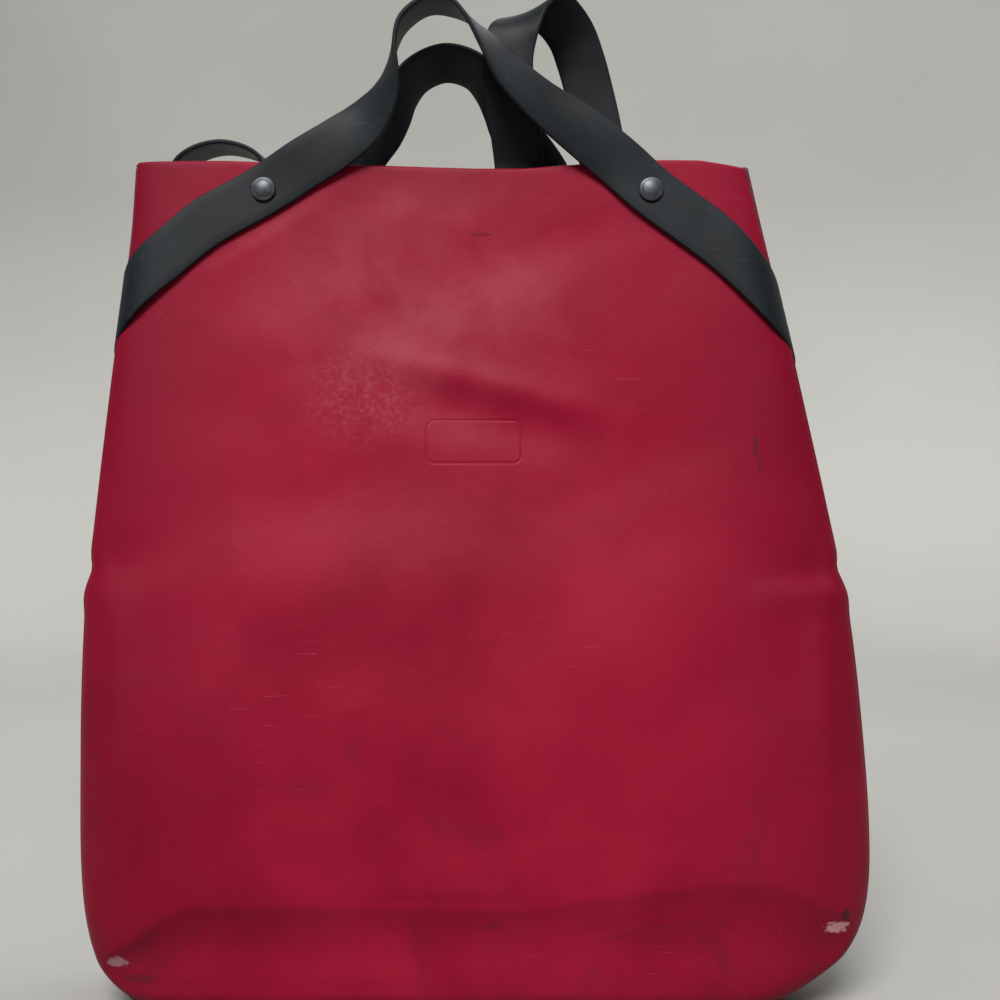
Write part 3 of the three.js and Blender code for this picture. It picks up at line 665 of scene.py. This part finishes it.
def make_shell():
    front = panel_skin("front_skin", -1, front_relief, front_dips)
    finish_piece(front, [RED_FRONT, LINED])
    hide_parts("front_panel_lower", "front_panel_upper", "mouth_hem_front")
    bend_with_mouth(front)
    back = panel_skin("back_skin", 1, back_relief, back_dips)
    finish_piece(back, [RED, LINED])
    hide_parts("back_panel", "mouth_hem_back")
    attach(back, "root")
    base = finish_piece(base_skin(), [RED, LINED])
    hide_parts("base_panel")
    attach(base, "root")
    for word, hand in (("left", -1), ("right", 1)):
        wall = sheet_of("side_skin_" + word, side_grid(hand, FOOT, FOLD, 60), FABRIC)
        finish_piece(wall, [RED, LINED])
        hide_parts("side_wall_" + word)
        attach(wall, "root")
        lower = sheet_of("pleat_lower_" + word, side_grid(hand, FOLD, PLEAT_SPLIT, 34), PLEAT)
        finish_piece(lower, [RED, LINED])
        pleat_blend(lower)
        upper = sheet_of("pleat_upper_" + word, side_grid(hand, PLEAT_SPLIT, PLEAT_TOP, 30), PLEAT)
        finish_piece(upper, [RED, LINED])
        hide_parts("gusset_pleat_" + word)
        pleat_blend(upper)
        for part, side in (("front", -1), ("back", 1)):
            z = np.linspace(FOOT, RIM - 2, 120)
            line = np.stack([edge_x(hand, z), side * along(SEAM_DEPTH, z), z], axis=-1)
            weld = finish_piece(tube(f"weld_{part}_{word}", line, WELD_RADIUS), [RED])
            if side < 0:
                bend_with_mouth(weld)
            else:
                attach(weld, "root")
    loop = []
    for side in (-1, 1):
        across = closer_at_ends(120) * -side
        loop.extend(shell(side, across, np.full_like(across, FOOT)))
    loop.append(loop[0])
    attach(finish_piece(tube("weld_base", loop, BASE_WELD_RADIUS), [RED]), "root")


make_shell()


# ---------------------------------------------------------------- straps

def curve_points(stations, steps, centripetal):
    """Points of a Catmull-Rom curve through the stations, with that many steps to each."""
    p = np.array(stations, float)
    p = np.vstack([2 * p[0] - p[1], p, 2 * p[-1] - p[-2]])
    made = []
    for i in range(1, len(p) - 2):
        a, b, c, d = p[i - 1:i + 3]
        if centripetal:
            before, here, after = (max(np.linalg.norm(v), 1e-6) ** 0.5 for v in (b - a, c - b, d - c))
            start = ((b - a) / before - (c - a) / (before + here) + (c - b) / here) * here
            end = ((c - b) / here - (d - b) / (here + after) + (d - c) / after) * here
        else:
            start = (c - a) / 2
            end = (d - b) / 2
        last = i == len(p) - 3
        for t in np.arange(steps + (1 if last else 0)) / steps:
            made.append(b + t * start + t * t * (3 * (c - b) - 2 * start - end)
                        + t**3 * (2 * (b - c) + start + end))
    return np.array(made)


def strap_section():
    """The strap's section, with rounded edges, as (across, outwards) pairs."""
    half = STRAP_WIDTH / 2
    thick = STRAP_THICKNESS / 2
    round_off = STRAP_EDGE_RADIUS
    points = []
    for corner_x, corner_y, first in ((1, 1, 0), (-1, 1, 90), (-1, -1, 180), (1, -1, 270)):
        for step in range(4):
            angle = math.radians(first + 30 * step)
            points.append((corner_x * (half - round_off) + round_off * math.cos(angle),
                           corner_y * (thick - round_off) + round_off * math.sin(angle)))
        if first in (0, 180):
            for share in (0.6, 0.2, -0.2, -0.6):
                sign = 1 if first == 0 else -1
                points.append((sign * share * half, sign * thick))
    return np.array(points)


SECTION = strap_section()
STEPS = 7


def strap_rings(stations):
    """The rings of a strap through its stations, each a (middle, width direction) pair."""
    middles, widths = zip(*stations)
    middles = curve_points(middles, STEPS, True)
    widths = curve_points(widths, STEPS, False)
    tangents = np.gradient(middles, axis=0)
    tangents /= np.linalg.norm(tangents, axis=1)[:, None]
    widths -= np.sum(widths * tangents, axis=1)[:, None] * tangents
    widths /= np.linalg.norm(widths, axis=1)[:, None]
    faces = np.cross(tangents, widths)
    return (middles[:, None] + SECTION[None, :, 0, None] * widths[:, None]
            + SECTION[None, :, 1, None] * faces[:, None])


def matched(rings, target):
    """Rings in the order of their section that makes the first one match target, and drawn onto it."""
    orders = [np.roll(rings[0][::way], shift, axis=0) for way in (1, -1) for shift in range(len(SECTION))]
    best = min(range(len(orders)), key=lambda k: np.abs(orders[k] - target).sum())
    way = 1 if best < len(SECTION) else -1
    ordered = np.roll(rings[:, ::way], best % len(SECTION), axis=1)
    share = smooth(1 - np.arange(len(ordered)) / (2 * STEPS))[:, None, None]
    return ordered + share * (target - ordered[0])


def strap_piece(name, rings, ends_shown=True):
    """A strap from its rings. Where its ends show, they are closed by faces of their own."""
    rows, columns = rings.shape[:2]
    faces = grid_faces(rows, columns, around=True)
    points = rings.reshape(-1, 3)
    if ends_shown:
        points = np.concatenate([points, rings[0], rings[-1]])
        first = rows * columns
        faces.append(tuple(range(first + columns - 1, first - 1, -1)))
        faces.append(tuple(range(first + columns, first + 2 * columns)))
    made = mesh_of(name, points, faces)
    cover = bmesh.new()
    cover.from_mesh(made.data)
    bmesh.ops.recalc_face_normals(cover, faces=cover.faces)
    cover.to_mesh(made.data)
    cover.free()
    finish_piece(made, [RUBBER])
    return made


def on_panel(side, x, height, edge, lift=STRAP_LIFT):
    """A strap station on a panel. lift is how far its middle stands off, and edge its width direction."""
    normal = shell_normal(side, x, height)
    middle = shell(side, across_at(x, height), height) + normal * lift
    width = np.array(edge, float)
    width = width - (width @ normal) * normal
    return middle, width / np.linalg.norm(width)


def free(x, y, z, edge):
    """A strap station away from the panels."""
    width = np.array(edge, float)
    return np.array([x, y, z], float), width / np.linalg.norm(width)


OVER_STRAP = STRAP_LIFT + STRAP_THICKNESS + STRAP_GAP

# The strap over the front: riveted either side and arching over the mouth as the front handle
FRONT_RUN_LEFT = [
    on_panel(-1, -123, 367, (-0.54, 0, 0.84)),
    on_panel(-1, -98.4, 381, (-0.54, 0, 0.84)),
    free(-79, -11, 394, (-0.58, 0, 0.8)),
]
FRONT_ARCH = [
    free(-64, -10.6, 403.5, (-0.6, 0.1, 0.78)),
    free(-52, -11, 412.5, (-0.66, 0.35, 0.66)),
    free(-44, -11.5, 423, (-0.62, 0.65, 0.42)),
    free(-39.9, -11.5, 434, (-0.4, 0.88, 0.2)),
    free(-37.5, -11, 447.4, (-0.12, 0.99, 0.02)),
    free(-33, -10.5, 460, (0, 1, 0)),
    free(-21, -10, 468.9, (0, 1, 0)),
    free(-9.7, -11, 467.7, (0.05, 1, 0)),
    free(-0.2, -12.5, 460.6, (0.2, 0.95, 0.15)),
    free(8.8, -13.5, 449.8, (0.42, 0.85, 0.3)),
    free(18.7, -14, 436, (0.6, 0.65, 0.42)),
    free(32.4, -13.5, 422.9, (0.68, 0.45, 0.5)),
    free(48.4, -12, 411, (0.65, 0.2, 0.65)),
    free(60.2, -10.8, 402, (0.62, 0.05, 0.75)),
]
FRONT_RUN_RIGHT = [
    free(70, -10.3, 394, (0.6, 0, 0.78)),
    on_panel(-1, 84.1, 381, (0.62, 0, 0.78)),
    on_panel(-1, 107, 363.5, (0.6, 0, 0.8)),
]

# The same strap's ends, wrapped round the sides, as (distance round from the corner's start, height)
WRAP_LEFT = [(-31.1, 367), (-15.4, 355.5), (-3, 346), (8, 335.5), (17, 325.5), (26, 315.5), (37, 305),
             (48, 296), (60, 287.5), (73, 279), (87.5, 270), (101.4, 261)]
WRAP_RIGHT = [(-20.8, 363.5), (-9, 352.5), (0, 342.5), (8, 332), (16, 322), (25, 313), (36, 303.5),
              (48, 294.5), (60, 286.5), (74, 278.5), (91.4, 270), (106.2, 261)]
WRAP_WIDTH = 14  # how far in from the side the corner starts
WRAP_LENGTH = 46  # the way round the side, from the front's corner to the back's
WRAP_STAND = 2.4  # how far the strap's middle stands out from the side
WRAP_LOFT = 1.1  # how much more it stands off the panels near the corners
PROBE = 0.4  # step for the strap's slope


def wrapped(hand, around, height):
    """A point of the strap's middle surface, laid over the front, round the side and over the back."""
    start = edge_x(hand, height) + hand * (WRAP_STAND - WRAP_WIDTH)
    turn = np.pi * np.clip(around / WRAP_LENGTH, 0, 1)
    side = np.where(around < WRAP_LENGTH / 2, -1, 1)
    past = np.where(side < 0, np.minimum(around, 0), np.minimum(WRAP_LENGTH - around, 0))
    flat_x = start + hand * past
    depth = np.abs(shell(1, across_at(flat_x, height), height)[..., 1]) + STRAP_LIFT
    lifted = WRAP_LOFT * bell(np.maximum(np.abs(around - WRAP_LENGTH / 2) - WRAP_LENGTH / 2, 0), 12)
    x = flat_x + hand * WRAP_WIDTH * np.sin(turn)
    y = -np.cos(turn) * (depth + lifted)
    return np.stack([x, y, height], axis=-1)


def wrap_rings(hand, stations):
    """Rings of the strap where it wraps round a side."""
    line = curve_points(stations, STEPS, True)
    along_line = np.gradient(line, axis=0)
    along_line /= np.linalg.norm(along_line, axis=1)[:, None]
    sideways = np.stack([-along_line[:, 1], along_line[:, 0]], axis=1)
    around = line[:, 0, None] + SECTION[None, :, 0] * sideways[:, 0, None]
    height = line[:, 1, None] + SECTION[None, :, 0] * sideways[:, 1, None]
    du = wrapped(hand, around + PROBE, height) - wrapped(hand, around - PROBE, height)
    dv = wrapped(hand, around, height + PROBE) - wrapped(hand, around, height - PROBE)
    normal = np.cross(du, dv) * hand
    normal /= np.linalg.norm(normal, axis=-1)[..., None]
    return wrapped(hand, around, height) + SECTION[None, :, 1, None] * normal


REAR_HANDLE = [
    on_panel(1, -61.5, 358, (1, 0, 0)),
    on_panel(1, -61, 370, (1, 0, 0)),
    on_panel(1, -61, 383, (1, 0, 0), STRAP_LIFT + 1.4),
    free(-60.5, 13.9, 394, (1, 0, 0)),
    free(-53, 15, 407, (0.93, 0.3, -0.1)),
    free(-45.8, 16.5, 416.5, (0.8, 0.5, -0.22)),
    free(-40, 18, 426, (0.6, 0.7, -0.32)),
    free(-35, 19, 436.5, (0.4, 0.8, -0.4)),
    free(-27, 20, 446, (0.18, 0.85, -0.47)),
    free(-14, 21, 451.5, (0, 0.87, -0.5)),
    free(-1, 20.5, 448, (-0.18, 0.85, -0.47)),
    free(7, 20, 440, (-0.4, 0.8, -0.4)),
    free(13, 19, 430, (-0.6, 0.7, -0.32)),
    free(18.5, 17.5, 419, (-0.8, 0.5, -0.22)),
    free(25.5, 15.5, 408, (-0.93, 0.3, -0.1)),
    free(35, 13.9, 394, (-1, 0, 0)),
    on_panel(1, 39.5, 383, (-1, 0, 0), OVER_STRAP),
    on_panel(1, 41.5, 371, (-1, 0, 0), OVER_STRAP),
    on_panel(1, 42, 358, (-1, 0, 0), OVER_STRAP),
]

# Up from the middle of the back, over in a loop, and down the back
SHOULDER_RIGHT = [
    on_panel(1, 25, 333, (-1, 0, 0)),
    on_panel(1, 24.5, 346, (-1, 0, 0)),
    on_panel(1, 24, 366, (-1, 0, 0)),
    on_panel(1, 23.3, 387, (-1, 0, 0)),
    free(22.5, 10.2, 399, (-1, 0, 0)),
    free(20.5, 6.8, 414, (-1, 0, -0.05)),
    free(18, 3.9, 432, (-1, 0, 0)),
    free(16.8, 3.4, 448, (-1, 0, -0.1)),
    free(20, 5.5, 463, (-0.94, 0, -0.3)),
    free(28, 14, 474, (-0.9, 0, -0.42)),
    free(39, 25, 478, (-0.92, 0, -0.38)),
    free(48.5, 33, 470, (-0.97, 0.05, -0.2)),
    free(54, 36, 457, (-1, 0.05, -0.1)),
    free(58, 37, 443, (-1, 0, -0.15)),
    free(61.5, 37, 428, (-0.98, 0, -0.2)),
    free(64.5, 36.5, 412, (-0.98, 0, -0.2)),
    free(68, 37, 392, (-0.98, 0, -0.2)),
    free(74, 43, 360, (-0.97, 0, -0.22)),
    free(88, 58, 305, (-0.97, 0, -0.25)),
    free(106, 70, 235, (-0.97, 0, -0.25)),
    free(124, 71, 160, (-0.97, 0, -0.22)),
    free(139, 60, 105, (-0.98, 0, -0.2)),
    on_panel(1, 146, 82, (-1, 0, -0.1), STRAP_LIFT + 2.4),
    on_panel(1, 147, 73, (-1, 0, -0.1), STRAP_LIFT + 0.5),
    on_panel(1, 148, 62, (-1, 0, -0.05)),
    on_panel(1, 148.5, 49, (-1, 0, 0)),
]

# Up, edge-on over the rim in a small arc, and down the back
SHOULDER_LEFT = [
    on_panel(1, -91, 333, (1, 0, 0)),
    on_panel(1, -91, 346, (1, 0, 0)),
    on_panel(1, -91, 362, (1, 0, 0), STRAP_LIFT + 0.6),
    free(-92, 15.5, 378, (1, 0.2, 0)),
    free(-95, 20.5, 391, (0.75, 0.65, 0.1)),
    free(-103.5, 22, 403.5, (0.2, 1, 0)),
    free(-124, 22, 410, (0, 1, 0)),
    free(-143, 23, 403.5, (0, 1, 0)),
    free(-153, 27, 388, (-0.15, 1, 0.1)),
    free(-154.5, 37, 357, (-0.6, 0.75, 0.2)),
    free(-155, 50, 310, (-0.95, 0.25, 0)),
    free(-155, 64, 250, (-1, 0, 0)),
    free(-154.5, 71, 180, (-1, 0, 0)),
    free(-154, 63, 115, (-1, 0, 0)),
    on_panel(1, -152.3, 82, (-1, 0, 0), STRAP_LIFT + 2.4),
    on_panel(1, -151.7, 73, (-1, 0, 0), STRAP_LIFT + 0.5),
    on_panel(1, -151.5, 62, (-1, 0, 0)),
    on_panel(1, -151, 49, (-1, 0, 0)),
]

def make_straps():
    ends = 3 * STEPS  # rings of each wrapped end that belong to the front strap
    arch = strap_rings(FRONT_RUN_LEFT + FRONT_ARCH + FRONT_RUN_RIGHT)
    left = matched(wrap_rings(-1, WRAP_LEFT), arch[0])
    right = matched(wrap_rings(1, WRAP_RIGHT), arch[-1])
    rings = np.concatenate([left[1:ends + 1][::-1], arch, right[1:ends + 1]])
    front = strap_piece("front_strap_and_handle", rings, ends_shown=False)
    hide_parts("front_strap_left", "front_handle", "front_strap_right")
    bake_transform(front)
    for word, part in (("left", left), ("right", right)):
        side = strap_piece("side_strap_round_" + word, part[ends:])
        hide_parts("side_strap_" + word)
        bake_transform(side)
    rear = strap_piece("rear_strap_and_handle", strap_rings(REAR_HANDLE))
    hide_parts("rear_tab_left", "rear_handle", "rear_tab_right")
    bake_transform(rear)
    for word, stations in (("left", SHOULDER_LEFT), ("right", SHOULDER_RIGHT)):
        shoulder = strap_piece("shoulder_webbing_" + word, strap_rings(stations))
        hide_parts("shoulder_strap_" + word)
        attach(shoulder, "root")


make_straps()


# ---------------------------------------------------------------- rivets, magnets, sleeve

# Where each rivet goes through the shell, as side, x, height and how far out the strap's middle is
RIVETS = {
    "front_left": (-1, -98.4, 381, STRAP_LIFT + 0.5),
    "front_right": (-1, 84.1, 381, STRAP_LIFT + 0.5),
    "side_left": (1, -124, 270, STRAP_LIFT),
    "side_right": (1, 104, 270, STRAP_LIFT),
    "handle_left": (1, -61, 370, STRAP_LIFT + 0.6),
    "handle_right": (1, 41.5, 371, OVER_STRAP),
    "shoulder_top_left": (1, -91, 346, STRAP_LIFT),
    "shoulder_top_right": (1, 24.5, 346, STRAP_LIFT),
    "shoulder_foot_left": (1, -151.5, 62, STRAP_LIFT),
    "shoulder_foot_right": (1, 148, 62, STRAP_LIFT),
}


def cap_profile(under):
    """A rivet's shank and its domed cap, which sits at the height under, as (radius, height) pairs."""
    dome = [(CAP_RIM_RADIUS, 0), (CAP_RADIUS, 0.25), (CAP_RADIUS, 0.6), (CAP_RIM_RADIUS, 0.95), (5.0, 1.2),
            (4.75, 1.2), (4.5, 1.36), (3.4, 1.78), (2.0, 2.06), (0.9, 2.17), (0.01, 2.2)]
    shank = [(0.01, -SHANK_LENGTH), (SHANK_RADIUS, -SHANK_LENGTH), (SHANK_RADIUS, under)]
    return shank + [(radius, under + height) for radius, height in dome]


def washer_profile():
    """The washer behind the fabric, as (radius, height) pairs."""
    foot = -FABRIC - STRAP_GAP - WASHER_THICKNESS
    top = foot + WASHER_THICKNESS
    return [(WASHER_HOLE, foot), (WASHER_RADIUS - 0.3, foot), (WASHER_RADIUS, foot + 0.25),
            (WASHER_RADIUS, top - 0.2), (WASHER_RADIUS - 0.2, top), (WASHER_HOLE, top), (WASHER_HOLE, foot)]


def make_rivets():
    for name, (side, x, height, lift) in RIVETS.items():
        body = "mouth_front" if side < 0 else "root"
        point = shell(side, across_at(x, height), height)
        out = shell_normal(side, x, height)
        under = lift + STRAP_THICKNESS / 2 + 0.02
        rivet = turned("cap_" + name, cap_profile(under), point, out)
        finish_piece(rivet, [CAP_PAINT])
        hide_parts("rivet_" + name)
        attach(rivet, body)
        burr = turned("washer_" + name, washer_profile(), point, out)
        finish_piece(burr, [STEEL])
        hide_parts("burr_" + name)
        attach(burr, body)


def make_magnets():
    for name, side, body in (("front", -1, "mouth_front"), ("back", 1, "root")):
        low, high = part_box("magnet_" + name)
        middle = np.array((low + high) / 2) / MM
        disc = [(0.01, -1), (MAGNET_EDGE, -1), (MAGNET_RADIUS, -0.8), (MAGNET_RADIUS, 0.8), (MAGNET_EDGE, 1),
                (4.2, 1), (4.0, 0.85), (0.01, 0.85)]
        magnet = turned("closing_magnet_" + name, disc, middle, (0, -side, 0))
        finish_piece(magnet, [STEEL])
        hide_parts("magnet_" + name)
        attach(magnet, body)


SLEEVE_RIGHT = 103
SLEEVE_WIDTH = 218
SLEEVE_FOOT = 32
SLEEVE_HEIGHT = 222
SLEEVE_ROOM = 10  # how far the sleeve stands off the back panel in its middle


def sleeve_grid(columns=70, rows=50):
    """The laptop sleeve on the inside of the back panel: joined at its sides and foot, open at the top."""
    u, v = np.meshgrid(np.linspace(0, 1, columns), np.linspace(0, 1, rows))
    x = SLEEVE_RIGHT - SLEEVE_WIDTH * u
    z = SLEEVE_FOOT + SLEEVE_HEIGHT * v
    stand = FABRIC + SLEEVE_ROOM * (1 - np.abs(2 * u - 1) ** 8) * np.minimum(1, 4 * v)
    sag = 0.8 * wander(x, z, 45, 12.0) * smooth(v * 6) * smooth((1 - np.abs(2 * u - 1)) * 8)
    dented = np.minimum(back_relief(x, z), 0)
    y = shell(1, across_at(x, z), z)[..., 1] + dented - FABRIC - stand + sag
    z = z - 2.5 * smooth(v * 3 - 2) * (1 - (2 * u - 1) ** 2)
    return np.stack([x, y, z], axis=-1)


def make_sleeve():
    grid = sleeve_grid()
    sleeve = finish_piece(sheet_of("sleeve_panel", grid, LINING), [LINED, LINED])
    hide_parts("laptop_sleeve")
    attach(sleeve, "root")
    top = grid[-1].copy()
    top[:, 1] -= LINING / 2
    top[:, 2] -= 1.2
    binding = tube("sleeve_binding", top, 1.5, 12)
    finish_piece(binding, [LINED])
    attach(binding, "root")


make_rivets()
make_magnets()
make_sleeve()
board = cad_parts["base_board"]
board.data.materials.clear()
board.data.materials.append(BOARD)


# ---------------------------------------------------------------- floor, light and camera

def make_floor():
    """A pale floor that curves up into a low wall all round, open at the top."""
    flat = 1.5  # radius of the level part
    curve = 0.9  # radius of the curve up to the wall
    wall_top = 1.7
    turn = np.linspace(0.1, math.pi / 2, 14)
    level = np.linspace(0.001, flat, 12)
    radii = np.concatenate([level, flat + curve * np.sin(turn), [flat + curve]])
    heights = np.concatenate([np.zeros(len(level)), curve - curve * np.cos(turn), [wall_top]])
    profile = [(r / MM, h / MM) for r, h in zip(radii, heights)]
    floor = turned("floor", profile, np.array([0, 0, -0.2]), (0, 0, 1), 96)
    floor.data.materials.append(floor_material())


def sun(name, toward, strength, spread, colour):
    """A distant soft light shining along a direction."""
    light = bpy.data.lights.new(name, "SUN")
    light.energy = strength
    light.angle = math.radians(spread)
    light.color = colour
    made = bpy.data.objects.new(name, light)
    made.rotation_mode = "QUATERNION"
    made.rotation_quaternion = Vector(toward).to_track_quat("-Z", "Y")
    scene.collection.objects.link(made)


def make_studio():
    """The floor, two soft lights, an even sky, and a camera square on to the front."""
    make_floor()
    sun("key", (0.20, 0.95, -1.05), 4.1, 26, (1.0, 0.99, 0.975))
    sun("fill", (-0.5, -0.8, -0.9), 1.3, 60, (0.97, 0.98, 1.0))
    world = bpy.data.worlds.new("studio")
    world.use_nodes = True
    background = world.node_tree.nodes["Background"]
    background.inputs["Color"].default_value = (0.93, 0.96, 1.0, 1)
    background.inputs["Strength"].default_value = 0.36
    scene.world = world
    scene.view_settings.view_transform = "Standard"
    camera = bpy.data.objects.new("camera", bpy.data.cameras.new("camera"))
    camera.data.lens = 48
    camera.data.sensor_width = 36
    camera.location = (0.013, -0.640, 0.235)
    camera.rotation_euler = (math.pi / 2, 0, 0)
    scene.collection.objects.link(camera)
    scene.camera = camera


make_studio()
